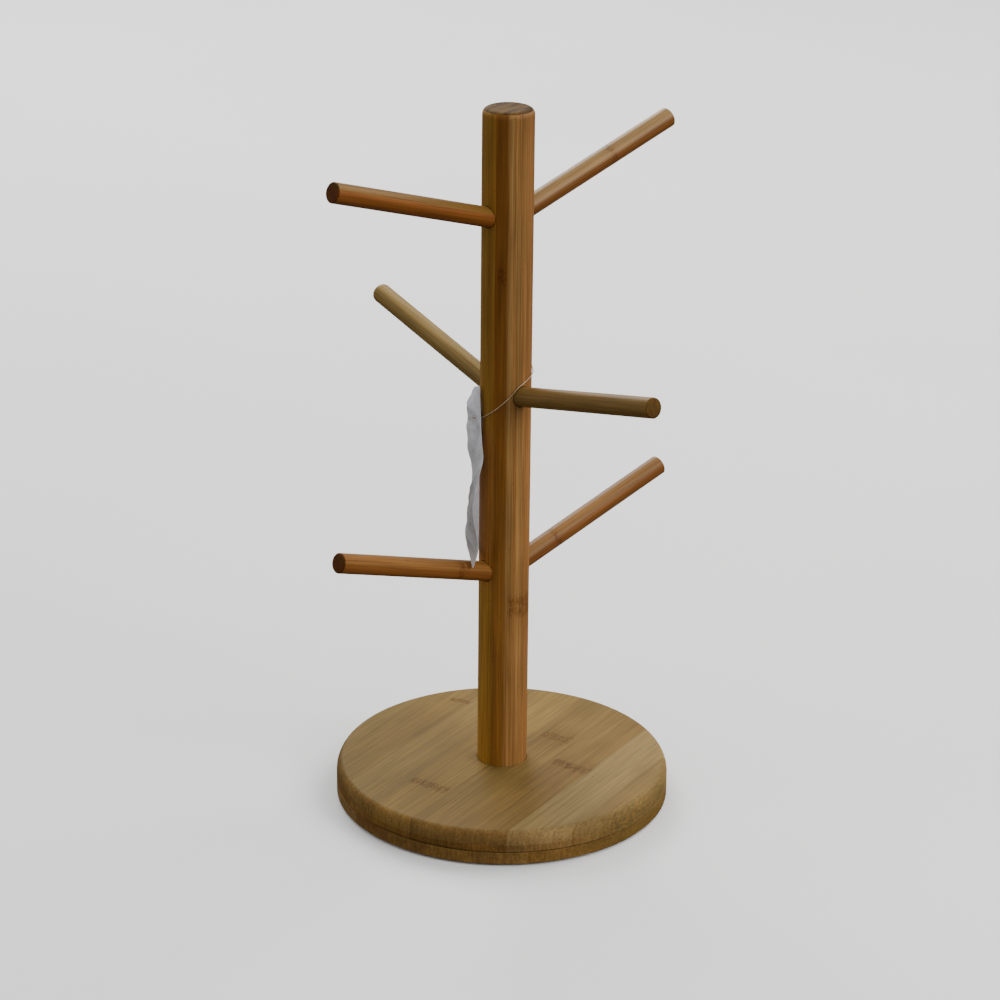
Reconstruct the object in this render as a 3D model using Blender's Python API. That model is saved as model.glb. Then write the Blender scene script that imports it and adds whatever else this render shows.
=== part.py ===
"""Bamboo mug tree: a two-ply round base, a round post and six angled pegs, with a blank hang tag.

Metres, +Z up. The origin is on the post's axis, on the surface that the foot pads stand on. The upper
and lower pegs lie along X and the middle pair along Y. Two thin boards make the base, a countersunk
screw holds the post from below, and each peg is glued into its own blind, angled socket.
"""

import math

import bmesh
import bpy
from mathutils import Matrix, Vector

# Driving dimensions
BASE_RADIUS = 0.0800
PAD_HEIGHT = 0.0008
BASE_UNDERSIDE = 0.0010
BOTTOM_BOARD = 0.0061
TOP_BOARD = 0.0102
GLUE_GAP = 0.0003
ROUND_OVER_WIDTH = 0.0034
ROUND_OVER_HEIGHT = 0.0062
EDGE_BREAK = 0.0004

POST_RADIUS = 0.01195
POST_TOP = 0.3400
POST_ROUNDING = 0.0030
SOCKET_DEPTH_BASE = 0.0060
FOOT_CLEARANCE = 0.00025

PEG_RADIUS = 0.00472
PEG_REACH = 0.1025
PEG_INNER_END = 0.0046
PEG_CHAMFER = 0.00045
# The middle back dowel's tip is sanded rounder than the others
TIP_ROUNDINGS = {"middle_back": 0.0028}
SOCKET_CLEARANCE = 0.00028
LEVEL_HEIGHTS = {"upper": 0.2874, "middle": 0.2031, "lower": 0.1142}
# Each socket's azimuth and tilt, drilled by hand to within about a degree of square
PEG_ANGLES = {
    "upper": {"right": (0.1, 18.5), "left": (179.6, 17.2)},
    "middle": {"back": (88.7, 14.0), "front": (270.8, 12.6)},
    "lower": {"right": (0.1, 17.8), "left": (180.5, 17.3)},
}

SCREW_HEAD_RADIUS = 0.0040
SCREW_SHANK_RADIUS = 0.00185
SCREW_CORE_RADIUS = 0.00125
SCREW_LENGTH = 0.0350
SCREW_SUNK = 0.0007
THREAD_PITCH = 0.0020
SHANK_HOLE = 0.0023
PILOT_HOLE = 0.0022

PAD_RADIUS = 0.0060
PAD_CIRCLE = 0.0620

# The hang tag's own directions: out is away from the post, side is level along the tag
TAG_OUT = 140.3
TAG_SIDE = 230.3
TAG_HOLE = (0.0040, 0.0144, 0.1934)
TAG_HOLE_RADIUS = 0.0018
TAG_THICKNESS = 0.0006
KNOT_RADIUS = 0.0012
THREAD_RADIUS = 0.00025
STRAND_OFFSET = 0.0004


def turn(degrees):
    """Unit direction in the ground plane."""
    return Vector((math.cos(math.radians(degrees)), math.sin(math.radians(degrees)), 0.0))


def in_tag_frame(side, out, height):
    """A point given by the tag's own directions."""
    return turn(TAG_SIDE) * side + turn(TAG_OUT) * out + Vector((0.0, 0.0, height))


def clear_scene():
    for old in list(bpy.data.objects):
        bpy.data.objects.remove(old, do_unlink=True)


def make_material(name, colour, roughness, metallic=0.0):
    material = bpy.data.materials.new(name)
    material.use_nodes = True
    shader = material.node_tree.nodes["Principled BSDF"]
    shader.inputs["Base Color"].default_value = (*colour, 1.0)
    shader.inputs["Roughness"].default_value = roughness
    shader.inputs["Metallic"].default_value = metallic
    return material


def add_mesh(name, mesh_builder, material, sharp=35.0):
    """Turn a bmesh into a named, smooth-shaded object."""
    bmesh.ops.recalc_face_normals(mesh_builder, faces=mesh_builder.faces)
    mesh = bpy.data.meshes.new(name)
    mesh_builder.to_mesh(mesh)
    mesh_builder.free()
    mesh.shade_smooth()
    mesh.set_sharp_from_angle(angle=math.radians(sharp))
    if material:
        mesh.materials.append(material)
    piece = bpy.data.objects.new(name, mesh)
    bpy.context.collection.objects.link(piece)
    return piece


def turned(profile, segments, closed=False):
    """Spin a list of (radius, height) about Z. A closed profile makes a ring."""
    builder = bmesh.new()
    points = [builder.verts.new((radius, 0.0, height)) for radius, height in profile]
    pairs = list(zip(points, points[1:]))
    if closed:
        pairs.append((points[-1], points[0]))
    edges = [builder.edges.new(pair) for pair in pairs]
    bmesh.ops.spin(
        builder,
        geom=points + edges,
        cent=(0.0, 0.0, 0.0),
        axis=(0.0, 0.0, 1.0),
        angle=2.0 * math.pi,
        steps=segments,
        use_merge=True,
    )
    bmesh.ops.remove_doubles(builder, verts=builder.verts, dist=1e-6)
    return builder


def cutter(name, mesh_builder):
    """A hidden solid that cuts others."""
    piece = add_mesh(name, mesh_builder, None)
    piece.hide_render = True
    piece.display_type = "WIRE"
    return piece


def cut(piece, tool):
    modifier = piece.modifiers.new(tool.name, "BOOLEAN")
    modifier.operation = "DIFFERENCE"
    modifier.solver = "EXACT"
    modifier.object = tool


def arc(centre, radii, start, end, steps):
    """Points of an elliptical arc as (radius, height)."""
    points = []
    for step in range(steps + 1):
        angle = math.radians(start + (end - start) * step / steps)
        points.append((centre[0] + radii[0] * math.cos(angle), centre[1] + radii[1] * math.sin(angle)))
    return points


def make_base(wood):
    """Two glued round boards. The screw's hole and the post's seat are part of their turned outline."""
    low = BASE_UNDERSIDE
    seam = low + BOTTOM_BOARD
    head_top = low + SCREW_SUNK + 0.0003
    cone_top = head_top + SCREW_HEAD_RADIUS + 0.0004 - SHANK_HOLE
    bottom_outline = [
        (SCREW_HEAD_RADIUS + 0.0004, low),
        (BASE_RADIUS - EDGE_BREAK, low),
        (BASE_RADIUS, low + EDGE_BREAK),
        (BASE_RADIUS, seam - EDGE_BREAK * 0.4),
        (BASE_RADIUS - EDGE_BREAK * 0.4, seam),
        (SHANK_HOLE, seam),
        (SHANK_HOLE, cone_top),
        (SCREW_HEAD_RADIUS + 0.0004, head_top),
    ]
    add_mesh("base_bottom_board", turned(bottom_outline, 96, closed=True), wood)

    start = seam + GLUE_GAP
    top = start + TOP_BOARD
    seat = top - SOCKET_DEPTH_BASE
    hole = POST_RADIUS + FOOT_CLEARANCE
    rounding = arc(
        (BASE_RADIUS - ROUND_OVER_WIDTH, top - ROUND_OVER_HEIGHT),
        (ROUND_OVER_WIDTH, ROUND_OVER_HEIGHT),
        0.0,
        90.0,
        8,
    )
    top_outline = [
        (SHANK_HOLE, start),
        (BASE_RADIUS - EDGE_BREAK * 0.4, start),
        (BASE_RADIUS, start + EDGE_BREAK * 0.4),
        *rounding,
        (hole, top),
        (hole, seat),
        (SHANK_HOLE, seat),
    ]
    add_mesh("base_top_board", turned(top_outline, 96, closed=True), wood)
    return seat


def each_peg():
    """Name, height on the post's axis, azimuth and tilt of every peg."""
    for level, sides in PEG_ANGLES.items():
        for side, (azimuth, tilt) in sides.items():
            yield f"{level}_{side}", LEVEL_HEIGHTS[level], azimuth, tilt


def peg_frame(height, azimuth, tilt):
    """Matrix whose Z runs out along a peg from the post's axis."""
    along = turn(azimuth) * math.cos(math.radians(tilt)) + Vector((0.0, 0.0, math.sin(math.radians(tilt))))
    return Matrix.Translation((0.0, 0.0, height)) @ along.to_track_quat("Z", "Y").to_matrix().to_4x4()


def make_post(seat, wood):
    """A round post with a pilot hole up its foot and six blind angled sockets."""
    foot = seat + GLUE_GAP
    pilot_top = BASE_UNDERSIDE + SCREW_SUNK + SCREW_LENGTH + 0.0015
    top_edge = arc(
        (POST_RADIUS - POST_ROUNDING, POST_TOP - POST_ROUNDING), (POST_ROUNDING, POST_ROUNDING), 0.0, 90.0, 6
    )
    outline = [
        (0.0, pilot_top + PILOT_HOLE * 0.6),
        (PILOT_HOLE, pilot_top),
        (PILOT_HOLE, foot),
        (POST_RADIUS - EDGE_BREAK, foot),
        (POST_RADIUS, foot + EDGE_BREAK),
        *top_edge,
        (0.0, POST_TOP),
    ]
    post = add_mesh("post", turned(outline, 48), wood)
    radius = PEG_RADIUS + SOCKET_CLEARANCE
    bottom = PEG_INNER_END - 0.0004
    drill = [(0.0, bottom), (radius, bottom), (radius, 0.0200), (0.0, 0.0200)]
    for name, height, azimuth, tilt in each_peg():
        tool = cutter(f"socket_cutter_{name}", turned(drill, 32))
        tool.matrix_world = peg_frame(height, azimuth, tilt)
        cut(post, tool)


def make_pegs(wood):
    """Six plain dowels with a small chamfer at each end, or a rounded tip."""
    for name, height, azimuth, tilt in each_peg():
        ease = TIP_ROUNDINGS.get(name, PEG_CHAMFER)
        steps = 6 if name in TIP_ROUNDINGS else 1
        outline = [
            (0.0, PEG_INNER_END),
            (PEG_RADIUS - PEG_CHAMFER, PEG_INNER_END),
            (PEG_RADIUS, PEG_INNER_END + PEG_CHAMFER),
            *arc((PEG_RADIUS - ease, PEG_REACH - ease), (ease, ease), 0.0, 90.0, steps),
            (0.0, PEG_REACH),
        ]
        peg = add_mesh(f"peg_{name}", turned(outline, 32), wood)
        peg.matrix_world = peg_frame(height, azimuth, tilt)


def make_screw(steel):
    """A countersunk wood screw, head down, with a cross recess and a helical thread."""
    start = BASE_UNDERSIDE + SCREW_SUNK
    cone = SCREW_HEAD_RADIUS - SCREW_SHANK_RADIUS
    rings = [(0.0, SCREW_HEAD_RADIUS - 0.0002, 0.0), (0.0003, SCREW_HEAD_RADIUS, 0.0)]
    rings.append((0.0003 + cone, SCREW_SHANK_RADIUS, 0.0))
    thread_start = 0.0150
    thread_end = SCREW_LENGTH - 0.0030
    rings.append((thread_start - 0.0004, SCREW_SHANK_RADIUS, 0.0))
    rows = int((thread_end - thread_start) / THREAD_PITCH * 6)
    for row in range(rows + 1):
        height = thread_start + (thread_end - thread_start) * row / rows
        rings.append((height, SCREW_CORE_RADIUS, 1.0))
    rings.append((SCREW_LENGTH - 0.0004, 0.0003, 0.0))
    depth = SCREW_SHANK_RADIUS + 0.0001 - SCREW_CORE_RADIUS
    segments = 16

    builder = bmesh.new()
    loops = []
    for height, radius, threaded in rings:
        loop = []
        for step in range(segments):
            phase = (height / THREAD_PITCH - step / segments) % 1.0
            tooth = max(0.0, 1.0 - abs(phase - 0.5) * 4.0)
            reach = radius + depth * tooth * threaded
            angle = 2.0 * math.pi * step / segments
            loop.append(builder.verts.new((reach * math.cos(angle), reach * math.sin(angle), height)))
        loops.append(loop)
    for lower, upper in zip(loops, loops[1:]):
        for step in range(segments):
            following = (step + 1) % segments
            builder.faces.new((lower[step], lower[following], upper[following], upper[step]))
    builder.faces.new(list(reversed(loops[0])))
    builder.faces.new(loops[-1])
    screw = add_mesh("base_screw", builder, steel)
    screw.location = (0.0, 0.0, start)

    for number in range(2):
        slot = bmesh.new()
        bmesh.ops.create_cube(slot, size=1.0)
        for corner in slot.verts:
            deep = corner.co.z > 0.0
            corner.co.x *= 0.0016 if deep else 0.0046
            corner.co.y *= 0.0006 if deep else 0.0010
            corner.co.z = 0.0019 if deep else -0.0004
        tool = cutter(f"recess_cutter_{number + 1}", slot)
        tool.location = (0.0, 0.0, start)
        tool.rotation_euler = (0.0, 0.0, math.radians(20.0 + 90.0 * number))
        cut(screw, tool)


def make_pads(rubber):
    """Four thin stick-on discs under the base."""
    soft = 0.0002
    outline = [
        (0.0, 0.0),
        (PAD_RADIUS - soft, 0.0),
        (PAD_RADIUS, soft),
        (PAD_RADIUS, PAD_HEIGHT),
        (0.0, PAD_HEIGHT),
    ]
    for number in range(4):
        pad = add_mesh(f"foot_pad_{number + 1}", turned(outline, 24), rubber)
        pad.location = turn(45.0 + 90.0 * number) * PAD_CIRCLE


def smooth_between(points, t):
    """Catmull-Rom value along a list of equal steps, t from 0 to 1."""
    spans = len(points) - 1
    place = min(max(t, 0.0), 1.0) * spans
    index = min(int(place), spans - 1)
    local = place - index
    before = points[max(index - 1, 0)]
    here = points[index]
    there = points[index + 1]
    after = points[min(index + 2, spans)]
    return 0.5 * (
        here * 2.0
        + (there - before) * local
        + (before * 2.0 - here * 5.0 + there * 4.0 - after) * local**2
        + (here * 3.0 - before - there * 3.0 + after) * local**3
    )


def tag_out_at(side, height):
    """How far out from the post's axis the tag's middle surface lies."""
    share = (height - 0.1250) / 0.0800
    lean = 0.20 - 0.16 * max(0.0, 0.45 - share) / 0.45
    return TAG_HOLE[1] + 0.0002 * (1.0 - share) - lean * (side - TAG_HOLE[0])


def make_tag(paper):
    """The tag as a plain bent sheet with a round hole. Its origin is at the hole, on the swing axis."""
    front = [Vector(p) for p in ((0.0208, 0.1250), (0.0198, 0.1530), (0.0165, 0.1800), (0.0070, 0.2046))]
    back = [Vector(p) for p in ((-0.0070, 0.1390), (-0.0135, 0.1580), (-0.0140, 0.1800), (-0.0100, 0.2010))]
    rows, columns = 16, 8
    origin = in_tag_frame(*TAG_HOLE)

    builder = bmesh.new()
    faces = []
    for offset in (-0.5, 0.5):
        grid = []
        for row in range(rows + 1):
            start = smooth_between(front, row / rows)
            end = smooth_between(back, row / rows)
            line = []
            for column in range(columns + 1):
                side, height = start.lerp(end, column / columns)
                out = tag_out_at(side, height) + offset * TAG_THICKNESS
                line.append(builder.verts.new(in_tag_frame(side, out, height) - origin))
            grid.append(line)
        faces.append(grid)
    inner, outer = faces
    for grid in faces:
        for row in range(rows):
            for column in range(columns):
                builder.faces.new(
                    (grid[row][column], grid[row][column + 1], grid[row + 1][column + 1], grid[row + 1][column])
                )
    rim = [(0, column) for column in range(columns)]
    rim += [(row, columns) for row in range(rows)]
    rim += [(rows, column) for column in range(columns, 0, -1)]
    rim += [(row, 0) for row in range(rows, 0, -1)]
    for place, following in zip(rim, rim[1:] + rim[:1]):
        builder.faces.new(
            (
                inner[place[0]][place[1]],
                inner[following[0]][following[1]],
                outer[following[0]][following[1]],
                outer[place[0]][place[1]],
            )
        )
    tag = add_mesh("hang_tag", builder, paper)
    tag.location = origin

    drill = [(0.0, -0.0060), (TAG_HOLE_RADIUS, -0.0060), (TAG_HOLE_RADIUS, 0.0060), (0.0, 0.0060)]
    tool = cutter("tag_hole_cutter", turned(drill, 24))
    tool.matrix_world = Matrix.Translation(origin) @ turn(TAG_OUT).to_track_quat("Z", "Y").to_matrix().to_4x4()
    cut(tag, tool)


def thread_route():
    """From the knot through the tag's hole, round the post above the middle pegs and back."""
    side, out, height = TAG_HOLE
    leave = [
        in_tag_frame(side + STRAND_OFFSET, out + 0.0005, height),
        in_tag_frame(side + STRAND_OFFSET, out - 0.0007, height),
        in_tag_frame(side + 0.0013, out - 0.0019, height + 0.0004),
    ]
    arrive = [
        in_tag_frame(side - 0.0022, out - 0.0016, height + 0.0018),
        in_tag_frame(side - STRAND_OFFSET, out - 0.0006, height + 0.0003),
        in_tag_frame(side - STRAND_OFFSET, out + 0.0005, height),
    ]
    # (degrees round the post, height) where the thread lies on it, passing over two peg roots
    around = [
        (178.0, 0.1954),
        (205.0, 0.1995),
        (227.0, 0.2039),
        (246.0, 0.2081),
        (252.0, 0.2097),
        (259.0, 0.2111),
        (270.0, 0.2124),
        (292.0, 0.2142),
        (315.0, 0.2157),
        (345.0, 0.2168),
        (375.0, 0.2172),
        (405.0, 0.2165),
        (430.0, 0.2148),
        (450.0, 0.2126),
        (463.0, 0.2113),
        (469.0, 0.2097),
        (475.0, 0.2071),
        (484.0, 0.2020),
        (494.0, 0.1981),
    ]
    radius = POST_RADIUS + THREAD_RADIUS + 0.0003
    middle = [turn(angle) * radius + Vector((0.0, 0.0, height)) for angle, height in around]
    return leave + middle + arrive


def even_points(route, count):
    """Equally spaced points on the smooth curve through a route."""
    fine = [smooth_between(route, step / 2000.0) for step in range(2001)]
    lengths = [0.0]
    for start, end in zip(fine, fine[1:]):
        lengths.append(lengths[-1] + (end - start).length)
    points = []
    index = 0
    for number in range(count):
        wanted = lengths[-1] * number / (count - 1)
        while index < len(fine) - 2 and lengths[index + 1] < wanted:
            index += 1
        span = max(lengths[index + 1] - lengths[index], 1e-12)
        points.append(fine[index].lerp(fine[index + 1], (wanted - lengths[index]) / span))
    return points


def make_thread(nylon):
    """The loop, a thin tube, and the knot that closes it outside the tag."""
    points = even_points(thread_route(), 80)
    curve = bpy.data.curves.new("tag_loop", "CURVE")
    curve.dimensions = "3D"
    curve.bevel_depth = THREAD_RADIUS
    curve.bevel_resolution = 2
    curve.use_fill_caps = True
    spline = curve.splines.new("POLY")
    spline.points.add(len(points) - 1)
    for point, place in zip(spline.points, points):
        point.co = (*place, 1.0)
    curve.materials.append(nylon)
    bpy.context.collection.objects.link(bpy.data.objects.new("tag_loop", curve))

    builder = bmesh.new()
    bmesh.ops.create_uvsphere(builder, u_segments=12, v_segments=8, radius=KNOT_RADIUS)
    knot = add_mesh("loop_knot", builder, nylon)
    side, out, height = TAG_HOLE
    knot.location = in_tag_frame(side, out + 0.0006 + 0.0003 + KNOT_RADIUS, height)


def main():
    clear_scene()
    base_wood = make_material("base_bamboo", (0.62, 0.42, 0.24), 0.50)
    post_wood = make_material("post_bamboo", (0.52, 0.30, 0.14), 0.48)
    peg_wood = make_material("peg_bamboo", (0.48, 0.26, 0.11), 0.45)
    steel = make_material("zinc_steel", (0.72, 0.72, 0.74), 0.35, 1.0)
    rubber = make_material("pad_foam", (0.08, 0.08, 0.09), 0.85)
    nylon = make_material("clear_nylon", (0.80, 0.82, 0.84), 0.25)
    paper = make_material("tag_paper", (0.66, 0.66, 0.68), 0.55)
    seat = make_base(base_wood)
    make_post(seat, post_wood)
    make_pegs(peg_wood)
    make_screw(steel)
    make_pads(rubber)
    make_tag(paper)
    make_thread(nylon)


main()
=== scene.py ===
"""Looks for the bamboo mug tree: laminated bamboo with fibres, knuckles and end grain, a steel screw,
foam pads, a clear nylon loop and a crumpled blank tag, on a plain pale floor.

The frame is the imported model: metres, +Z up, origin on the post's axis where the pads stand.
"""

import math

import bmesh
import bpy
from mathutils import Matrix, Vector, noise


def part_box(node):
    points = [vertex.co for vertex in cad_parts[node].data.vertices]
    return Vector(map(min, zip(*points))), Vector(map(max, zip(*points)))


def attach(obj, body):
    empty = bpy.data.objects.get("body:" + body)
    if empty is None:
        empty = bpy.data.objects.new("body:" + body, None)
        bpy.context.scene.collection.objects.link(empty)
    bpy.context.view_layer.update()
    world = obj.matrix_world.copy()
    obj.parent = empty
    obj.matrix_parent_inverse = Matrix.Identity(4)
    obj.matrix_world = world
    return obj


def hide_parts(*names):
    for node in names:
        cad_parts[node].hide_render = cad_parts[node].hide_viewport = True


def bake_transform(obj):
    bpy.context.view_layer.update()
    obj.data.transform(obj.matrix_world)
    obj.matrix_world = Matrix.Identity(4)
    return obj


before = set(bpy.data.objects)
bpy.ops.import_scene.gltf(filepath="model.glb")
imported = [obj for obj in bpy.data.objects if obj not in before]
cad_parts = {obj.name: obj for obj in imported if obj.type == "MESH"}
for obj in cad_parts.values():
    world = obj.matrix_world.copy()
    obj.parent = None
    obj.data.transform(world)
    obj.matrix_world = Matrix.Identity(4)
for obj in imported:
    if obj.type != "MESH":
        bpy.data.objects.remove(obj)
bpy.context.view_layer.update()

# Camera: where it stands round the object, and how it is held
CAMERA_AZIMUTH = -129.7
CAMERA_RADIUS = 1.3735
CAMERA_HEIGHT = 0.7014
CAMERA_HEADING = 50.39
CAMERA_PITCH = 21.84
CAMERA_ROLL = 0.57
CAMERA_LENS = 113.6
FILM_WIDTH = 36.0
FARTHEST_SEEN = 50.0

# Lights and floor
WORLD_LIGHT = 0.78
LOW_LIGHT = 0.13
KEY_POWER = 34.0
BACK_POWER = 40.0
FILL_POWER = 24.0
AIM_HEIGHT = 0.14
FLOOR_HALF = 6.0

# The object's own directions, and the post's size taken from the imported nodes
POST_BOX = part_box("post")
POST_RADIUS = (POST_BOX[1][0] - POST_BOX[0][0]) / 2.0
GRAIN_AZIMUTH = 18.5
LAMINATION_AZIMUTH = -39.7
SAWN_BAND_AZIMUTH = 105.0

# Pegs as (node, azimuth, height on the post's axis, tilt)
PEGS = (
    ("peg_upper_right", 0.1, 0.2874, 18.5),
    ("peg_upper_left", 179.6, 0.2874, 17.2),
    ("peg_middle_back", 88.7, 0.2031, 14.0),
    ("peg_middle_front", 270.8, 0.2031, 12.6),
    ("peg_lower_right", 0.1, 0.1142, 17.8),
    ("peg_lower_left", 180.5, 0.1142, 17.3),
)

# The tag's own directions: out is away from the post, side is level along the tag
TAG_OUT = 140.3
TAG_SIDE = 230.3
TAG_HOLE = (0.0040, 0.0144, 0.1934)
THREAD_RADIUS = 0.00025
THREAD_CLEARANCE = 0.0003
STRAND_OFFSET = 0.0004
KNOT_RADIUS = 0.0012
HOLE_RADIUS = 0.0008
FILM_THICKNESS = 0.0002

# The distance across the grain that the two boards' colours are spread over
BOARD_SPAN = 0.17

# The upper board's edge, by height: its rounding ends, and a groove and a lip lie just above the seam, whose
# shade is painted
ROUNDING_END = (0.0104, 0.0114)
GROOVE_SHADE_TOP = (0.0078, 0.0086)
LIP_SHADE_TOP = (0.0072, 0.0078)

# How bright that edge is below its rounding, by distance across the grain: painted light and shade, with the
# darker tone of the filled gap
RIM_PAINTED_SHADES = (
    (-0.0800, 1.02),
    (-0.0580, 0.74),
    (-0.0503, 0.74),
    (-0.0499, 0.70),
    (-0.0401, 0.76),
    (-0.0397, 1.04),
    (-0.0310, 1.04),
    (-0.0220, 0.78),
    (0.0160, 0.78),
    (0.0340, 1.05),
)


def turn(degrees):
    """Unit direction in the ground plane."""
    return Vector((math.cos(math.radians(degrees)), math.sin(math.radians(degrees)), 0.0))


def tilted(azimuth, tilt):
    """Unit direction that rises from the ground plane."""
    rise = math.radians(tilt)
    return turn(azimuth) * math.cos(rise) + Vector((0.0, 0.0, math.sin(rise)))


def in_tag_frame(side, out, height):
    """A point given by the tag's own directions."""
    return turn(TAG_SIDE) * side + turn(TAG_OUT) * out + Vector((0.0, 0.0, height))


# Camera


def make_camera():
    heading = math.radians(CAMERA_HEADING)
    pitch = math.radians(CAMERA_PITCH)
    roll = math.radians(CAMERA_ROLL)
    ahead = Vector(
        (math.cos(pitch) * math.cos(heading), math.cos(pitch) * math.sin(heading), -math.sin(pitch))
    )
    level = Vector((math.sin(heading), -math.cos(heading), 0.0))
    upward = level.cross(ahead)
    right = level * math.cos(roll) + upward * math.sin(roll)
    above = upward * math.cos(roll) - level * math.sin(roll)
    place = turn(CAMERA_AZIMUTH) * CAMERA_RADIUS + Vector((0.0, 0.0, CAMERA_HEIGHT))
    lens = bpy.data.cameras.new("camera")
    lens.sensor_width = FILM_WIDTH
    lens.lens = CAMERA_LENS
    lens.clip_end = FARTHEST_SEEN
    camera = bpy.data.objects.new("camera", lens)
    turned = Matrix((right, above, -ahead)).transposed().to_4x4()
    camera.matrix_world = Matrix.Translation(place) @ turned
    bpy.context.scene.collection.objects.link(camera)
    bpy.context.scene.camera = camera


# Node trees


class Graph:
    """Short calls that build one material's node tree. Colours are linear."""

    def __init__(self, name):
        self.material = bpy.data.materials.new(name)
        self.material.use_nodes = True
        self.tree = self.material.node_tree
        self.shader = self.tree.nodes["Principled BSDF"]
        self.place = self.node("ShaderNodeTexCoord").outputs["Object"]
        self.normal = self.node("ShaderNodeNewGeometry").outputs["Normal"]

    def node(self, kind, **settings):
        made = self.tree.nodes.new(kind)
        for key, value in settings.items():
            setattr(made, key, value)
        return made

    def put(self, socket, value):
        """Link a socket to another, or give it a constant."""
        if isinstance(value, bpy.types.NodeSocket):
            self.tree.links.new(value, socket)
        elif isinstance(value, tuple) and len(value) == 3 and len(socket.default_value) == 4:
            socket.default_value = (*value, 1.0)
        else:
            socket.default_value = value

    def maths(self, operation, a, b=0.0, c=0.0, clamp=False):
        made = self.node("ShaderNodeMath", operation=operation, use_clamp=clamp)
        for socket, value in zip(made.inputs, (a, b, c)):
            self.put(socket, value)
        return made.outputs[0]

    def chain(self, operation, *values):
        """The values joined one after another by one operation."""
        made = values[0]
        for value in values[1:]:
            made = self.maths(operation, made, value)
        return made

    def dot(self, vector, direction):
        made = self.node("ShaderNodeVectorMath", operation="DOT_PRODUCT")
        self.put(made.inputs[0], vector)
        made.inputs[1].default_value = direction
        return made.outputs["Value"]

    def join(self, x, y, z):
        made = self.node("ShaderNodeCombineXYZ")
        for socket, value in zip(made.inputs, (x, y, z)):
            self.put(socket, value)
        return made.outputs[0]

    def scaled(self, parts, factors, shift=0.0):
        """Three coordinates, each times its own factor, as one vector."""
        made = [self.maths("MULTIPLY_ADD", part, factor, shift) for part, factor in zip(parts, factors)]
        return self.join(*made)

    def noise(self, vector, detail=2.0, roughness=0.5, distortion=0.0):
        made = self.node("ShaderNodeTexNoise")
        self.put(made.inputs["Vector"], vector)
        made.inputs["Scale"].default_value = 1.0
        made.inputs["Detail"].default_value = detail
        made.inputs["Roughness"].default_value = roughness
        made.inputs["Distortion"].default_value = distortion
        return made.outputs["Fac"]

    def cells(self, vector):
        """The distance to the nearest of some scattered points."""
        made = self.node("ShaderNodeTexVoronoi", feature="F1")
        self.put(made.inputs["Vector"], vector)
        made.inputs["Scale"].default_value = 1.0
        return made.outputs["Distance"]

    def ease(self, value, low, high, start=0.0, end=1.0):
        """A smooth step from start to end as value goes from low to high."""
        made = self.node("ShaderNodeMapRange", interpolation_type="SMOOTHSTEP")
        for socket, given in zip(made.inputs, (value, low, high, start, end)):
            self.put(socket, given)
        return made.outputs[0]

    def between(self, value, low, high, edge):
        """One between low and high, easing off to zero over the edge at each end."""
        rise = self.ease(value, low, low + edge)
        return self.maths("MULTIPLY", rise, self.ease(value, high - edge, high, 1.0, 0.0))

    def ramp(self, value, stops, spread="EASE"):
        """Colours by position, from (position, colour) stops."""
        made = self.node("ShaderNodeValToRGB")
        self.put(made.inputs[0], value)
        table = made.color_ramp
        table.interpolation = spread
        while len(table.elements) < len(stops):
            table.elements.new(0.5)
        for element, (position, colour) in zip(table.elements, stops):
            element.position = position
            element.color = (*colour, 1.0)
        return made.outputs[0]

    def mix(self, factor, a, b, blend="MIX"):
        made = self.node("ShaderNodeMix", data_type="RGBA", blend_type=blend)
        self.put(made.inputs[0], factor)
        self.put(made.inputs[6], a)
        self.put(made.inputs[7], b)
        return made.outputs[2]

    def times(self, colour, tint):
        """The colour, multiplied by a tint."""
        return self.mix(1.0, colour, tint, "MULTIPLY")

    def stain(self, share, colour, tint):
        """The colour, tinted by a share from 0 to 1."""
        return self.mix(share, colour, self.times(colour, tint))

    def grey(self, value):
        return self.join(value, value, value)

    def surface(self, **inputs):
        """Set the shader's inputs by name, with _ for a space."""
        for name, value in inputs.items():
            self.put(self.shader.inputs[name.replace("_", " ")], value)

    def bump(self, height, distance, strength):
        made = self.node("ShaderNodeBump")
        self.put(made.inputs["Height"], height)
        made.inputs["Distance"].default_value = distance
        made.inputs["Strength"].default_value = strength
        return made.outputs[0]

    def grain_parts(self, along, across, start=(0.0, 0.0, 0.0)):
        """Distances along the grain and both ways across it, from a start point."""
        depth = Vector(along).cross(Vector(across)).normalized()
        made = self.node("ShaderNodeVectorMath", operation="SUBTRACT")
        self.put(made.inputs[0], self.place)
        made.inputs[1].default_value = start
        placed = made.outputs[0]
        return [self.dot(placed, tuple(way)) for way in (along, across, depth)]

    def upright_parts(self):
        """Height and the two ground directions, for what has no grain."""
        return self.grain_parts((0, 0, 1), (1, 0, 0))


def fibres(graph, parts, seed):
    """Bamboo's fibres: soft streaks, fine threads and a few dark hairlines, each from 0 to 1."""
    streaks = graph.noise(graph.scaled(parts, (7.0, 330.0, 330.0), seed), 3.0, 0.55)
    threads = graph.noise(graph.scaled(parts, (26.0, 1500.0, 1500.0), seed * 1.7), 2.0, 0.6)
    hairs = graph.noise(graph.scaled(parts, (16.0, 1150.0, 1150.0), seed * 2.3), 1.0, 0.4)
    return streaks, threads, graph.ease(hairs, 0.63, 0.72)


def end_grain_share(graph, along, start, whole):
    """How much a surface is cut across the fibres, from 0 to 1."""
    facing = graph.maths("ABSOLUTE", graph.dot(graph.normal, tuple(along)))
    return graph.ease(facing, start, whole)


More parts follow.
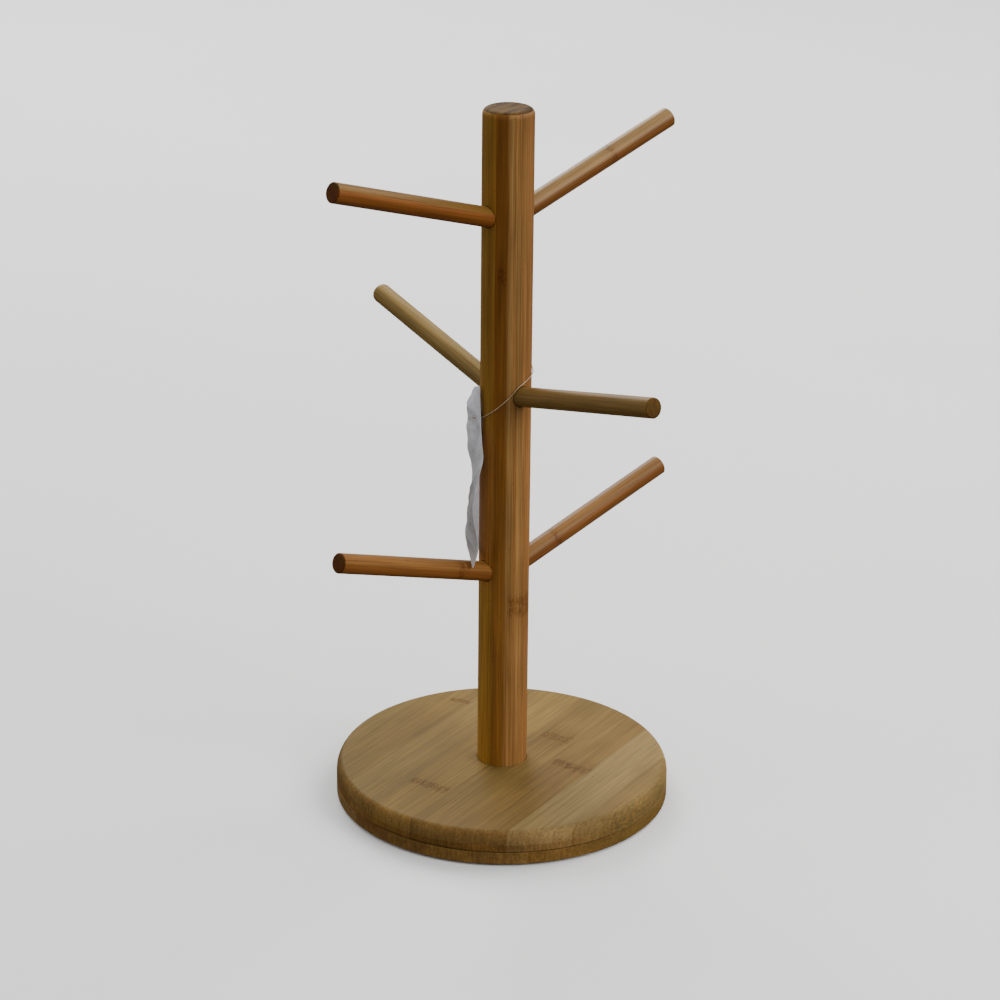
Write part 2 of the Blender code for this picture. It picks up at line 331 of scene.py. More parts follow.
def knuckle(graph, parts, along, low, high, length=0.0035, haze=0.25):
    """A growth ring where a strip crosses one of the cane's joints, from 0 to 1."""
    wander = graph.noise(graph.scaled(parts, (60.0, 220.0, 220.0), along * 90.0), 2.0, 0.6)
    bent = graph.maths("MULTIPLY_ADD", graph.maths("SUBTRACT", wander, 0.5), 0.0050, parts[0])
    away = graph.maths("ABSOLUTE", graph.maths("SUBTRACT", bent, along))
    strokes = graph.noise(graph.scaled(parts, (420.0, 1150.0, 1150.0), along * 30.0), 2.0, 0.6)
    blobs = graph.ease(strokes, 0.38, 0.58, 0.35, 1.0)
    core = graph.maths("MULTIPLY", graph.ease(away, length * 0.35, length, 1.0, 0.0), blobs)
    cloud = graph.ease(away, 0.0, length * 3.0, haze, 0.0)
    near = graph.maths("MAXIMUM", core, cloud)
    return graph.maths("MULTIPLY", near, graph.between(parts[1], low, high, 0.0016))


def grained(graph, parts, colour, strands, seed, contrast, fine):
    """The strips' colour with their fibres, soft clouds, dark hairlines and pores."""
    streaks, threads, hairs = strands
    light = graph.ease(streaks, 0.30, 0.70, 1.0 - 0.17 * contrast, 1.0 + 0.15 * contrast)
    lines = graph.ease(threads, 0.34, 0.66, 1.0 - 0.15 * fine, 1.0 + 0.11 * fine)
    clouds = graph.noise(graph.scaled(parts, (32.0, 60.0, 60.0), seed * 0.7), 2.0, 0.5)
    shade = graph.chain("MULTIPLY", light, lines, graph.ease(clouds, 0.32, 0.68, 0.93, 1.06))
    colour = graph.times(colour, graph.grey(shade))
    warm = graph.ease(streaks, 0.48, 0.72, 0.0, 0.38 * contrast)
    colour = graph.stain(warm, colour, (1.10, 0.92, 0.74))
    colour = graph.stain(graph.maths("MULTIPLY", hairs, 0.42 * contrast), colour, (0.55, 0.43, 0.30))
    pores = graph.cells(graph.scaled(parts, (210.0, 260.0, 260.0), seed))
    flecks = graph.ease(pores, 0.045, 0.075, 1.0, 0.0)
    return graph.mix(graph.maths("MULTIPLY", flecks, 0.65), colour, (0.030, 0.017, 0.008))


def end_grain(graph, parts, colour, dots, tint, painted_light_and_tone):
    """The strips' colour where they are sawn across: darker, with paler fibre bundles."""
    low = graph.times(colour, (tint.x * 0.90, tint.y * 0.87, tint.z * 0.82))
    high = graph.times(colour, (tint.x * 1.09, tint.y * 1.10, tint.z * 1.10))
    sawn = graph.mix(dots, low, high)
    # Painted light and shade, with some tone of the ends' own, laid over the sawn colour
    return sawn if painted_light_and_tone is None else graph.times(sawn, painted_light_and_tone(graph, parts))


def bamboo(
    name,
    parts_of,
    along,
    tone_of,
    marks,
    seed,
    contrast,
    fine,
    roughness,
    shine,
    end_dark=1.0,
    end_from=0.22,
    end_look=None,
    end_tint=(1.0, 1.0, 1.0),
    end_painted_light_and_tone=None,
):
    """One bamboo material.

    parts_of gives the grain's coordinates and tone_of the strips' colours. marks are the knuckles. contrast
    and fine are the strengths of the wide and the fine fibres. The rest is for sawn ends: end_from is where
    they start, end_dark and end_tint turn the strips' colours into theirs, end_painted_light_and_tone tints
    them once more with painted light and shade and some tone of their own, and end_look gives their colour
    instead of all three.
    """
    graph = Graph(name)
    parts = parts_of(graph)
    strands = fibres(graph, parts, seed)
    streaks, threads, _ = strands
    colour = grained(graph, parts, tone_of(graph, parts), strands, seed, contrast, fine)
    relief = graph.maths("MULTIPLY_ADD", threads, 0.6, graph.maths("MULTIPLY", streaks, 0.5))
    if marks:
        rings = graph.chain("MAXIMUM", *[knuckle(graph, parts, *mark) for mark in marks])
        mottle = graph.noise(graph.scaled(parts, (900.0, 950.0, 950.0), seed), 2.0, 0.7)
        dark = graph.maths("MULTIPLY", rings, graph.ease(mottle, 0.38, 0.62, 0.70, 1.0))
        colour = graph.stain(graph.maths("MULTIPLY", dark, 0.95), colour, (0.53, 0.41, 0.29))
        relief = graph.maths("SUBTRACT", relief, graph.maths("MULTIPLY", dark, 0.8))

    cut = end_grain_share(graph, along, end_from, max(0.75, end_from + 0.15))
    bundles = graph.noise(graph.scaled(parts, (300.0, 1150.0, 150.0), seed), 1.0, 0.45, 0.8)
    dots = graph.ease(bundles, 0.36, 0.64)
    if end_look is None:
        sawn = end_grain(graph, parts, colour, dots, Vector(end_tint) * end_dark, end_painted_light_and_tone)
    else:
        sawn = end_look(graph, parts)
    soft_dots = graph.maths("MULTIPLY", dots, 0.55)
    relief = graph.mix(cut, graph.grey(relief), graph.grey(soft_dots))

    rough = graph.maths("MULTIPLY_ADD", threads, 0.12, roughness)
    graph.surface(
        Base_Color=graph.mix(cut, colour, sawn),
        Roughness=graph.maths("MULTIPLY_ADD", cut, 0.22, rough, clamp=True),
        Specular_IOR_Level=shine,
        Normal=graph.bump(relief, 0.00012, 0.75),
    )
    return graph.material


def strip_tones(edges, tones):
    """Colours of edge-glued strips, changing sharply at the given distances across the grain."""

    def build(graph, parts):
        across = graph.maths("MULTIPLY_ADD", parts[1], 1.0 / BOARD_SPAN, 0.5)
        stops = [(0.0, tones[0])]
        stops += [(edge / BOARD_SPAN + 0.5, tone) for edge, tone in zip(edges, tones[1:])]
        colour = graph.ramp(across, stops, spread="CONSTANT")
        lines = []
        for edge in edges:
            away = graph.maths("ABSOLUTE", graph.maths("SUBTRACT", parts[1], edge))
            lines.append(graph.ease(away, 0.00010, 0.00045, 1.0, 0.0))
        glue = graph.maths("MULTIPLY", graph.chain("MAXIMUM", *lines), 0.22)
        return graph.stain(glue, colour, (0.6, 0.5, 0.4))

    return build


def rim_swirl(tone_of):
    """A board with painted light, paler toward its back where the light falls, and with a flame figure where
    its right edge cuts a strip slantwise.
    """

    def build(graph, parts):
        # Painted light: paler toward the back of the board
        painted_back_light = graph.ease(parts[0], -0.075, 0.065, 0.86, 1.18)
        colour = graph.times(tone_of(graph, parts), graph.grey(painted_back_light))
        far = graph.maths("MULTIPLY", graph.maths("ADD", parts[0], 0.014), 46.0)
        near = graph.maths("MULTIPLY", graph.maths("ADD", parts[1], 0.0775), 210.0)
        squares = graph.maths("ADD", graph.maths("MULTIPLY", far, far), graph.maths("MULTIPLY", near, near))
        reach = graph.maths("SQRT", squares)
        shake = graph.noise(graph.scaled(parts, (150.0, 420.0, 420.0), 4.0), 2.0, 0.6)
        shaken = graph.maths("MULTIPLY_ADD", shake, 0.5, reach)
        rings = graph.maths("SINE", graph.maths("MULTIPLY", shaken, 30.0))
        shown = graph.maths("MULTIPLY", graph.ease(rings, 0.0, 0.9), graph.ease(reach, 0.5, 1.5, 0.45, 0.0))
        return graph.mix(shown, colour, (0.270, 0.150, 0.036))

    return build


def layers_and_painted_shade(upper, lower, seam):
    """A dowel cut from two glued layers, one above the other, each of its own tone; the lower one is also
    darker, painted shade on the dowel's underside.
    """

    def build(graph, parts):
        drift = graph.noise(graph.scaled(parts, (9.0, 600.0, 600.0), 5.0), 2.0, 0.5)
        wander = graph.maths("MULTIPLY_ADD", graph.maths("SUBTRACT", drift, 0.5), 0.0020, parts[2])
        return graph.mix(graph.ease(wander, seam - 0.0005, seam + 0.0005), lower, upper)

    return build


def painted_rim_light(graph, parts):
    """Painted light: the strips' ends made paler all round, most of all on the right of the rim, where the
    light falls.
    """
    return graph.grey(graph.ease(parts[1], -0.076, -0.040, 1.90, 1.12))


def rim_shade_and_tone(graph, parts):
    """Browner below the rounding, its own tone, and darker there, painted shade. Painted shade also marks a
    groove over the seam at the left and a lip beyond the filled gap beside it. The rim's painted light is
    laid over all of it.
    """
    height = graph.dot(graph.place, (0.0, 0.0, 1.0))
    across = graph.maths("MULTIPLY_ADD", parts[1], 1.0 / BOARD_SPAN, 0.5)
    stops = [(place / BOARD_SPAN + 0.5, (value, value, value)) for place, value in RIM_PAINTED_SHADES]
    # Painted light and shade below the rounding, and the filled gap's own darker tone
    side = graph.ramp(across, stops, spread="LINEAR")
    # Painted shade of a groove over the seam, and of a lip just above the seam on the far side of the filled
    # gap
    groove = graph.chain(
        "MULTIPLY",
        graph.ease(height, *GROOVE_SHADE_TOP, 0.26, 0.0),
        graph.ease(parts[1], -0.0399, -0.0395),
        graph.ease(parts[1], 0.010, 0.034, 1.0, 0.0),
    )
    lip = graph.chain(
        "MULTIPLY",
        graph.ease(height, *LIP_SHADE_TOP, 0.16, 0.0),
        graph.ease(parts[1], -0.0640, -0.0590),
        graph.ease(parts[1], -0.0503, -0.0499, 1.0, 0.0),
    )
    side = graph.maths("SUBTRACT", side, graph.maths("ADD", groove, lip))
    # Browner there: the wood's own tone
    brown = graph.times(graph.grey(side), (1.06, 0.95, 0.80))
    front = graph.ease(parts[0], 0.030, 0.045, 1.0, 0.0)
    below = graph.maths("MULTIPLY", graph.ease(height, *ROUNDING_END, 1.0, 0.0), front)
    return graph.times(graph.mix(below, (1.0, 1.0, 1.0), brown), painted_rim_light(graph, parts))


# Bamboo pieces


def dress_base():
    """Top board: eight edge-glued strips with knuckles. Bottom board: the same stock, a little browner."""
    along = turn(GRAIN_AZIMUTH)
    across = turn(GRAIN_AZIMUTH + 90.0)
    edges = (-0.0665, -0.0440, -0.0215, 0.0005, 0.0230, 0.0455, 0.0680)
    tones = (
        (0.158, 0.103, 0.035),
        (0.186, 0.125, 0.046),
        (0.146, 0.088, 0.026),
        (0.144, 0.090, 0.026),
        (0.180, 0.113, 0.031),
        (0.160, 0.102, 0.030),
        (0.140, 0.087, 0.024),
        (0.146, 0.094, 0.026),
    )
    marks = (
        (-0.0455, 0.0004, 0.0232, 0.0048, 0.25),
        (0.0312, -0.0210, -0.0035, 0.0062, 0.50),
        (0.0080, -0.0455, -0.0232, 0.0050, 0.28),
        (0.0406, 0.0440, 0.0560, 0.0030, 0.10),
    )
    top = bamboo(
        "base_top_bamboo",
        lambda graph: graph.grain_parts(along, across),
        along,
        rim_swirl(strip_tones(edges, tones)),
        marks,
        seed=3.1,
        contrast=0.45,
        fine=1.20,
        roughness=0.50,
        end_dark=1.06,
        end_tint=(1.06, 0.98, 1.02),
        end_painted_light_and_tone=rim_shade_and_tone,
        shine=0.06,
    )
    low_edges = tuple(edge - 0.0090 for edge in edges)
    low_tones = tuple((red, green * 0.92, blue * 0.86) for red, green, blue in reversed(tones))
    bottom = bamboo(
        "base_bottom_bamboo",
        lambda graph: graph.grain_parts(along, across),
        along,
        strip_tones(low_edges, low_tones),
        ((0.0300, -0.0080, 0.0130), (-0.0350, 0.0150, 0.0360)),
        seed=8.4,
        contrast=0.7,
        fine=1.2,
        roughness=0.52,
        end_dark=0.96,
        end_tint=(1.0, 0.95, 1.0),
        end_painted_light_and_tone=painted_rim_light,
        shine=0.07,
    )
    give("base_top_board", top)
    give("base_bottom_board", bottom)


def post_tones(graph, parts):
    """Olive brown, a thin dark red layer, then a lighter layer striped with orange. Edges wander a little."""
    sway = graph.noise(graph.join(graph.maths("MULTIPLY", parts[0], 11.0), 0.0, 3.0), 2.0, 0.5)
    across = graph.maths("MULTIPLY_ADD", graph.maths("SUBTRACT", sway, 0.5), 0.0022, parts[1])
    height = parts[0]
    olive = graph.mix(graph.ease(across, -0.0110, -0.0070), (0.255, 0.130, 0.021), (0.236, 0.116, 0.019))
    # Beside the tag the olive layer is redder, the wood's own tone, and paler, painted light against the
    # shade the tag casts there
    above = graph.ease(height, 0.100, 0.125)
    under = graph.ease(height, 0.180, 0.200, 1.0, 0.0)
    tone_and_light_near_tag = graph.chain("MULTIPLY", above, under, 0.9)
    olive = graph.mix(tone_and_light_near_tag, olive, (0.300, 0.128, 0.028))
    wide = graph.noise(graph.scaled(parts, (4.0, 900.0, 900.0), 9.0), 3.0, 0.6)
    tan = graph.mix(graph.ease(wide, 0.32, 0.68), (0.218, 0.097, 0.026), (0.285, 0.156, 0.050))
    tan = graph.mix(graph.ease(across, 0.0065, 0.0105, 0.0, 0.75), tan, (0.245, 0.104, 0.030))
    dark = graph.mix(graph.ease(height, 0.06, 0.24), (0.200, 0.083, 0.015), (0.150, 0.058, 0.009))
    colour = graph.mix(graph.ease(across, -0.0062, -0.0046), olive, dark)
    colour = graph.mix(graph.ease(across, -0.0004, 0.0014), colour, tan)
    return graph.times(colour, graph.grey(graph.ease(height, 0.120, 0.260, 1.14, 1.0)))


def post_end(graph, parts):
    """The sawn top of the post: bands of end grain that run slantwise across it."""
    skew = graph.dot(graph.place, tuple(turn(SAWN_BAND_AZIMUTH)))
    run = graph.dot(graph.place, tuple(turn(SAWN_BAND_AZIMUTH - 90.0)))
    wide = graph.join(graph.maths("MULTIPLY", skew, 260.0), graph.maths("MULTIPLY", run, 40.0), 2.0)
    small = graph.join(graph.maths("MULTIPLY", skew, 1500.0), graph.maths("MULTIPLY", run, 500.0), 6.0)
    bands = graph.ease(graph.noise(wide, 2.0, 0.6), 0.38, 0.60)
    speck = graph.ease(graph.noise(small, 2.0, 0.6), 0.35, 0.65, 0.86, 1.10)
    return graph.times(graph.mix(bands, (0.046, 0.020, 0.003), (0.102, 0.054, 0.011)), graph.grey(speck))


def dress_post():
    """Three flat laminations glued face to face, then turned round."""
    along = Vector((0.0, 0.0, 1.0))
    across = turn(LAMINATION_AZIMUTH)
    wood = bamboo(
        "post_bamboo",
        lambda graph: graph.grain_parts(along, across),
        along,
        post_tones,
        ((0.1010, 0.0012, 0.0125, 0.0080, 0.20), (0.2640, -0.0052, 0.0004, 0.0070, 0.40)),
        seed=5.3,
        contrast=0.9,
        fine=1.25,
        roughness=0.42,
        shine=0.10,
        end_from=0.62,
        end_look=post_end,
    )
    give("post", wood)


def dress_pegs():
    """Each dowel is a stick of its own colour."""
    # upper layer, lower layer, darker with painted shade on the underside, seam between them, growth ring
    # from the post's axis (or none), seed, shine
    looks = {
        "peg_upper_right": ((0.256, 0.145, 0.044), (0.172, 0.064, 0.011), 0.0014, 0.0635, 11.0, 0.24),
        "peg_upper_left": ((0.162, 0.082, 0.017), (0.190, 0.064, 0.013), 0.0021, None, 23.0, 0.10),
        "peg_middle_back": ((0.262, 0.172, 0.055), (0.232, 0.142, 0.040), 0.0010, None, 37.0, 0.10),
        "peg_middle_front": ((0.192, 0.112, 0.031), (0.160, 0.088, 0.021), -0.0010, None, 41.0, 0.10),
        "peg_lower_right": ((0.205, 0.104, 0.031), (0.195, 0.074, 0.017), 0.0018, 0.0310, 53.0, 0.15),
        "peg_lower_left": ((0.214, 0.093, 0.022), (0.212, 0.076, 0.017), 0.0006, 0.0300, 67.0, 0.10),
    }
    for node, azimuth, height, tilt in PEGS:
        upper, lower, seam, ring, seed, shine = looks[node]
        along = tilted(azimuth, tilt)
        across = turn(azimuth + 90.0)
        start = (0.0, 0.0, height)
        marks = () if ring is None else ((ring, -0.0060, 0.0060, 0.0022),)
        wood = bamboo(
            f"{node}_bamboo",
            lambda graph, along=along, across=across, start=start: graph.grain_parts(along, across, start),
            along,
            layers_and_painted_shade(upper, lower, seam),
            marks,
            seed=seed,
            contrast=0.75,
            fine=1.2,
            roughness=0.34,
            end_dark=0.52 if "middle" in node else 0.42,
            end_tint=(1.0, 0.88, 0.60),
            shine=shine,
        )
        give(node, wood)


# Hardware


def dress_screw():
    graph = Graph("screw_zinc")
    parts = graph.upright_parts()
    cloud = graph.noise(graph.scaled(parts, (900.0, 900.0, 900.0)), 3.0)
    rings = graph.noise(graph.scaled(parts, (5000.0, 60.0, 60.0)), 1.0)
    graph.surface(
        Base_Color=graph.ramp(cloud, [(0.3, (0.40, 0.40, 0.42)), (0.7, (0.62, 0.62, 0.63))]),
        Roughness=graph.ease(cloud, 0.3, 0.7, 0.26, 0.44),
        Metallic=1.0,
        Normal=graph.bump(rings, 0.00004, 0.5),
    )
    give("base_screw", graph.material)


def dress_pads():
    graph = Graph("pad_foam")
    foam = graph.cells(graph.scaled(graph.upright_parts(), (2600.0, 2600.0, 2600.0)))
    graph.surface(
        Base_Color=graph.ramp(foam, [(0.1, (0.010, 0.010, 0.012)), (0.8, (0.035, 0.035, 0.038))]),
        Roughness=graph.ease(foam, 0.1, 0.8, 0.75, 0.95),
        Normal=graph.bump(foam, 0.0001, 0.7),
    )
    for number in range(4):
        give(f"foot_pad_{number + 1}", graph.material)


def give(node, material):
    """Put a material on a CAD node."""
    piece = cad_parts[node]
    for slot in piece.material_slots:
        slot.material = material
    if not piece.material_slots:
        piece.data.materials.append(material)


# Tag, loop and knot


def smooth_between(points, t):
    """Catmull-Rom value along a list of equal steps, t from 0 to 1."""
    spans = len(points) - 1
    place = min(max(t, 0.0), 1.0) * spans
    index = min(int(place), spans - 1)
    local = place - index
    before = points[max(index - 1, 0)]
    here = points[index]
    there = points[index + 1]
    after = points[min(index + 2, spans)]
    return 0.5 * (
        here * 2.0
        + (there - before) * local
        + (before * 2.0 - here * 5.0 + there * 4.0 - after) * local**2
        + (here * 3.0 - before - there * 3.0 + after) * local**3
    )


def thread_route():
    """From the knot through the tag's hole, round the post above the middle pegs and back."""
    side, out, height = TAG_HOLE
    leave = [
        in_tag_frame(side + STRAND_OFFSET, out + 0.0005, height),
        in_tag_frame(side + STRAND_OFFSET, out - 0.0007, height),
        in_tag_frame(side + 0.0013, out - 0.0019, height + 0.0004),
    ]
    arrive = [
        in_tag_frame(side - 0.0022, out - 0.0016, height + 0.0018),
        in_tag_frame(side - STRAND_OFFSET, out - 0.0006, height + 0.0003),
        in_tag_frame(side - STRAND_OFFSET, out + 0.0005, height),
    ]
    # (degrees round the post, height) where the thread lies on it, passing over two peg roots
    around = [
        (178.0, 0.1954),
        (205.0, 0.1995),
        (227.0, 0.2039),
        (246.0, 0.2081),
        (252.0, 0.2097),
        (259.0, 0.2111),
        (270.0, 0.2124),
        (292.0, 0.2142),
        (315.0, 0.2157),
        (345.0, 0.2168),
        (375.0, 0.2172),
        (405.0, 0.2165),
        (430.0, 0.2148),
        (450.0, 0.2126),
        (463.0, 0.2113),
        (469.0, 0.2097),
        (475.0, 0.2071),
        (484.0, 0.2020),
        (494.0, 0.1981),
    ]
    radius = POST_RADIUS + THREAD_RADIUS + THREAD_CLEARANCE
    middle = [turn(angle) * radius + Vector((0.0, 0.0, height)) for angle, height in around]
    return leave + middle + arrive


def make_tube(name, points, radius, material, closed=False):
    """A round wire through the points."""
    curve = bpy.data.curves.new(name, "CURVE")
    curve.dimensions = "3D"
    curve.bevel_depth = radius
    curve.bevel_resolution = 4
    curve.use_fill_caps = True
    spline = curve.splines.new("POLY")
    spline.points.add(len(points) - 1)
    spline.use_cyclic_u = closed
    for point, place in zip(spline.points, points):
        point.co = (*place, 1.0)
    spline.use_smooth = True
    curve.materials.append(material)
    piece = bpy.data.objects.new(name, curve)
    bpy.context.scene.collection.objects.link(piece)
    return piece


def nylon_look(name, low, high, see_through):
    """Cloudy nylon between two colours."""
    graph = Graph(name)
    haze = graph.noise(graph.scaled(graph.upright_parts(), (700.0, 700.0, 700.0)), 2.0)
    graph.surface(
        Base_Color=graph.ramp(haze, [(0.3, low), (0.7, high)]),
        Roughness=graph.ease(haze, 0.3, 0.7, 0.34, 0.48),
        IOR=1.53,
        Transmission_Weight=see_through,
    )
    return graph.material


def knot_turns():
    """An overhand knot: a small trefoil that lies outside the tag's hole."""
    side, out, height = TAG_HOLE
    middle = in_tag_frame(side, out + 0.0009 + KNOT_RADIUS, height)
    steps = 72
    turns = []
    for step in range(steps):
        angle = 2.0 * math.pi * step / steps
        reach = 0.00030 * (2.0 + math.cos(3.0 * angle))
        across = turn(TAG_SIDE) * reach * math.cos(2.0 * angle)
        above = Vector((0.0, 0.0, reach * math.sin(2.0 * angle)))
        turns.append(middle + across + above + turn(TAG_OUT) * 0.00042 * math.sin(3.0 * angle))
    return turns


def make_loop():
    """The thread as a cord, and the overhand knot that closes it outside the tag."""
    line = nylon_look("nylon_line", (0.44, 0.30, 0.15), (0.56, 0.42, 0.25), 0.30)
    knotted = nylon_look("nylon_knot", (0.52, 0.52, 0.53), (0.62, 0.62, 0.63), 0.15)
    route = thread_route()
    points = [smooth_between(route, step / 240.0) for step in range(241)]
    loop = make_tube("nylon_loop", points, THREAD_RADIUS, line)
    knot = make_tube("tied_knot", knot_turns(), THREAD_RADIUS, knotted, closed=True)
    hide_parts("tag_loop")
    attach(loop, "stand")
    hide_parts("loop_knot")
    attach(knot, "stand")


def paper_look(name, see_through):
    """Thin grey-white film paper: darker low on the tag, and paler at its top; the layer that folds back is
    paler too, painted light where it lies in shade between the front layer and the post.
    """
    graph = Graph(name)
    parts = graph.grain_parts((0, 0, 1), tuple(turn(TAG_SIDE)))
    cloud = graph.noise(graph.scaled(parts, (90.0, 90.0, 90.0)), 3.0, 0.6)
    fibre = graph.noise(graph.scaled(parts, (900.0, 1400.0, 1400.0)), 2.0, 0.6)
    upper = graph.ramp(cloud, [(0.30, (0.58, 0.58, 0.60)), (0.70, (0.70, 0.70, 0.725))])
    folded = graph.mix(graph.ease(parts[0], 0.128, 0.136), (0.56, 0.50, 0.49), (0.40, 0.39, 0.385))
    # Painted light: the back layer made paler, where it lies in shade between the front layer and the post
    behind = graph.ease(parts[1], 0.0035, 0.0060)
    folded = graph.mix(behind, (0.66, 0.66, 0.70), folded)
    upper = graph.mix(graph.ease(parts[0], 0.188, 0.202), upper, (0.76, 0.76, 0.80))
    colour = graph.mix(graph.ease(parts[0], 0.158, 0.178), folded, upper)
    fine = graph.ease(fibre, 0.3, 0.7, 0.93, 1.05)
    colour = graph.times(colour, graph.grey(fine))
    crumbs = graph.cells(graph.scaled(parts, (150.0, 260.0, 260.0), 1.3))
    nicks = graph.ease(crumbs, 0.10, 0.17, 0.55, 0.0)
    graph.surface(
        Base_Color=graph.stain(nicks, colour, (0.45, 0.45, 0.45)),
        Roughness=graph.ease(cloud, 0.3, 0.7, 0.34, 0.52),
        Specular_IOR_Level=0.35,
        Transmission_Weight=see_through,
        Normal=graph.bump(graph.maths("ADD", cloud, fibre), 0.00018, 0.6),
    )
    return graph.material


# The folded sheet's three long lines from top to bottom, in millimetres: (side, out, height). They follow
# the photo's outline of the tag through the camera fit, rounded and evened out.
TAG_BACK = (
    (-3.5, 12.0, 205.7), (-4.0, 12.0, 198.5), (-5.0, 11.9, 190.6), (-6.0, 11.9, 182.4), (-7.0, 11.9, 174.3),
    (-7.5, 11.8, 166.5), (-8.0, 11.8, 158.6), (-8.0, 11.8, 150.9), (-7.5, 11.8, 143.5), (-6.0, 11.8, 136.5),
    (-2.0, 11.8, 130.6), (6.0, 12.3, 126.6), (20.8, 14.3, 125.0),
)
TAG_CREASE = (
    (-1.5, 14.2, 206.7), (-1.4, 16.9, 199.7), (-1.1, 18.1, 192.3), (0.5, 17.9, 185.3), (3.0, 17.3, 178.7),
    (5.0, 15.3, 172.0), (6.6, 14.8, 165.0), (7.5, 15.9, 157.7), (8.8, 17.0, 150.6), (11.0, 17.6, 144.0),
    (14.0, 17.5, 137.6), (17.8, 16.4, 131.5), (20.8, 14.5, 125.0),
)
TAG_FRONT = (
    (6.5, 12.2, 210.1), (7.2, 11.8, 203.4), (8.0, 11.5, 196.3), (10.4, 11.2, 189.6), (13.2, 10.7, 183.2),
    (15.6, 10.2, 176.7), (17.4, 11.9, 169.8), (18.6, 13.6, 162.6), (19.6, 14.9, 155.4), (20.2, 14.3, 148.0),
    (20.6, 12.7, 140.5), (20.8, 12.3, 132.8), (20.8, 14.3, 125.0),
)

# Slanting folds on the front layer: how far down at the crease and at the front edge, and how far out
TAG_FOLDS = ((0.07, 0.23, 0.0020), (0.44, 0.20, -0.0020), (0.60, 0.44, 0.0012), (0.80, 0.92, 0.0010))
FOLD_WIDTH = 0.055


def tag_shape(share, down):
    """A point of the folded, crumpled sheet.

    share runs from the back edge to the front one, and down from the top to the tip.
    """
    rails = (TAG_BACK, TAG_CREASE, TAG_FRONT)
    back, crease, front = (smooth_between([Vector(point) / 1000.0 for point in rail], down) for rail in rails)
    if share < 0.5:
        spot = back.lerp(crease, share * 2.0)
        spot.y += 0.0012 * math.sin(share * 2.0 * math.pi) * math.sin(down * math.pi)
    else:
        spot = crease.lerp(front, share * 2.0 - 1.0)
    ends = math.sin(share * math.pi) * min(1.0, (1.0 - down) * 6.0)
    reach = share * 2.0 - 1.0
    if reach > 0.0:
        for start, end, rise in TAG_FOLDS:
            away = abs(down - (start + (end - start) * reach)) / FOLD_WIDTH
            spot.y += rise * max(0.0, 1.0 - away) * math.sin(reach * math.pi) ** 0.5
    where = Vector((share * 4.4, down * 9.5, 3.7))
    near = noise.voronoi(where)[0]
    ridge = 0.35 - min(near[1] - near[0], 0.7)
    spot.y += (0.0013 * ridge + 0.00035 * noise.noise(where * 2.3)) * ends
    return spot


def film_mesh():
    """The sheet without thickness: a back layer, a crease and a front layer with a round punched hole."""
    columns, rows = 52, 120
    builder = bmesh.new()
    grid = []
    for row in range(rows + 1):
        line = []
        for column in range(columns + 1):
            side, out, height = tag_shape(column / columns, row / rows)
            away = math.hypot(side - TAG_HOLE[0], height - TAG_HOLE[2])
            # beside the hole the front layer stays where the thread holds it
            if column * 2 > columns:
                slope = TAG_HOLE[1] - 0.72 * (side - TAG_HOLE[0])
                out += (slope - out) * max(0.0, 1.0 - max(0.0, away - 0.0020) / 0.0030)
            line.append(builder.verts.new(in_tag_frame(side, out, height)))
        grid.append(line)
    hole = in_tag_frame(*TAG_HOLE)
    for above, below in zip(grid, grid[1:]):
        for column in range(columns):
            corners = (above[column], above[column + 1], below[column + 1], below[column])
            middle = sum((corner.co for corner in corners), Vector()) / 4.0
            if column * 2 < columns or in_plane(middle - hole).length > HOLE_RADIUS:
                face = builder.faces.new(corners)
                face.material_index = 0 if column * 2 >= columns else 1
    for vertex in [vertex for vertex in builder.verts if not vertex.link_faces]:
        builder.verts.remove(vertex)
    for vertex in builder.verts:
        offset = in_plane(vertex.co - hole)
        if offset.length < HOLE_RADIUS + 0.0006 and vertex.is_boundary:
            vertex.co += offset.normalized() * (HOLE_RADIUS - offset.length)
    mesh = bpy.data.meshes.new("crumpled_tag")
    builder.to_mesh(mesh)
    builder.free()
    mesh.shade_smooth()
    return mesh


def make_tag():
    """The film with its thickness."""
    mesh = film_mesh()
    mesh.materials.append(paper_look("tag_front_film", 0.06))
    mesh.materials.append(paper_look("tag_back_film", 0.65))
    tag = bpy.data.objects.new("crumpled_tag", mesh)
    bpy.context.scene.collection.objects.link(tag)
    thick = tag.modifiers.new("thickness", "SOLIDIFY")
    thick.thickness = FILM_THICKNESS
    thick.offset = 0.0
    tag.data = bpy.data.meshes.new_from_object(tag.evaluated_get(bpy.context.evaluated_depsgraph_get()))
    tag.modifiers.clear()
    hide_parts("hang_tag")
    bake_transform(tag)


def in_plane(offset):
    """The part of an offset that lies along the tag."""
    return offset - turn(TAG_OUT) * offset.dot(turn(TAG_OUT))


# Stage


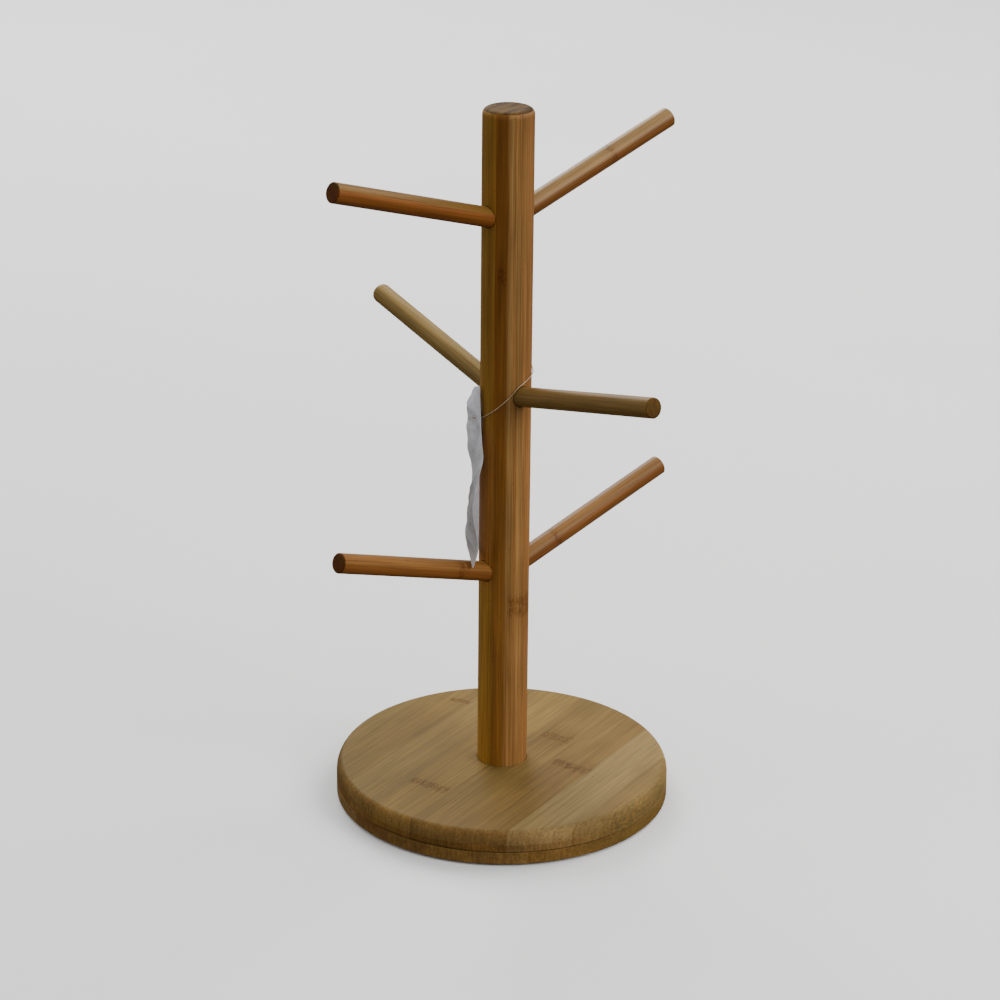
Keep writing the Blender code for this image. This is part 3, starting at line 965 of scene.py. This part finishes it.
def make_floor():
    mesh = bpy.data.meshes.new("floor")
    corners = [(x * FLOOR_HALF, y * FLOOR_HALF, 0.0) for x, y in ((-1, -1), (1, -1), (1, 1), (-1, 1))]
    mesh.from_pydata(corners, [], [(0, 1, 2, 3)])
    graph = Graph("floor_paint")
    cloud = graph.noise(graph.scaled(graph.upright_parts(), (3.0, 3.0, 3.0)), 2.0)
    graph.surface(
        Base_Color=graph.ramp(cloud, [(0.2, (0.83, 0.83, 0.83)), (0.8, (0.86, 0.86, 0.86))]),
        Roughness=0.9,
        Specular_IOR_Level=0.1,
    )
    mesh.materials.append(graph.material)
    floor = bpy.data.objects.new("floor", mesh)
    bpy.context.scene.collection.objects.link(floor)
    floor.visible_diffuse = False
    floor.visible_glossy = False


def make_light(name, azimuth, distance, height, size, power, colour=(1.0, 1.0, 1.0)):
    """A soft rectangular light that faces the middle of the object."""
    lamp = bpy.data.lights.new(name, "AREA")
    lamp.shape = "RECTANGLE"
    lamp.size, lamp.size_y = size
    lamp.energy = power
    lamp.color = colour
    piece = bpy.data.objects.new(name, lamp)
    place = turn(azimuth) * distance + Vector((0.0, 0.0, height))
    aim = Vector((0.0, 0.0, AIM_HEIGHT)) - place
    piece.matrix_world = Matrix.Translation(place) @ aim.to_track_quat("-Z", "Y").to_matrix().to_4x4()
    bpy.context.scene.collection.objects.link(piece)


def make_world():
    """An even white room that is much dimmer below the horizon."""
    world = bpy.data.worlds.new("studio")
    world.use_nodes = True
    tree = world.node_tree
    sky = tree.nodes["Background"]
    way = tree.nodes.new("ShaderNodeTexCoord").outputs["Generated"]
    parts = tree.nodes.new("ShaderNodeSeparateXYZ")
    tree.links.new(way, parts.inputs[0])
    rise = tree.nodes.new("ShaderNodeMapRange")
    tree.links.new(parts.outputs["Z"], rise.inputs["Value"])
    rise.inputs["From Min"].default_value = -0.12
    rise.inputs["From Max"].default_value = 0.06
    rise.inputs["To Min"].default_value = LOW_LIGHT
    rise.inputs["To Max"].default_value = WORLD_LIGHT
    tree.links.new(rise.outputs[0], sky.inputs["Strength"])
    sky.inputs["Color"].default_value = (1.0, 1.0, 1.0, 1.0)
    bpy.context.scene.world = world


def make_lights():
    """A key from the right, one light from behind and a fill from the front right."""
    make_light("key", -5.0, 1.7, 1.9, (1.5, 1.5), KEY_POWER, (1.0, 0.985, 0.96))
    make_light("back", 70.0, 1.9, 1.5, (1.4, 1.2), BACK_POWER)
    make_light("fill", -70.0, 1.8, 1.2, (1.0, 1.2), FILL_POWER)


def main():
    make_camera()
    make_loop()
    make_tag()
    dress_base()
    dress_post()
    dress_pegs()
    dress_screw()
    dress_pads()
    make_floor()
    make_world()
    make_lights()


main()
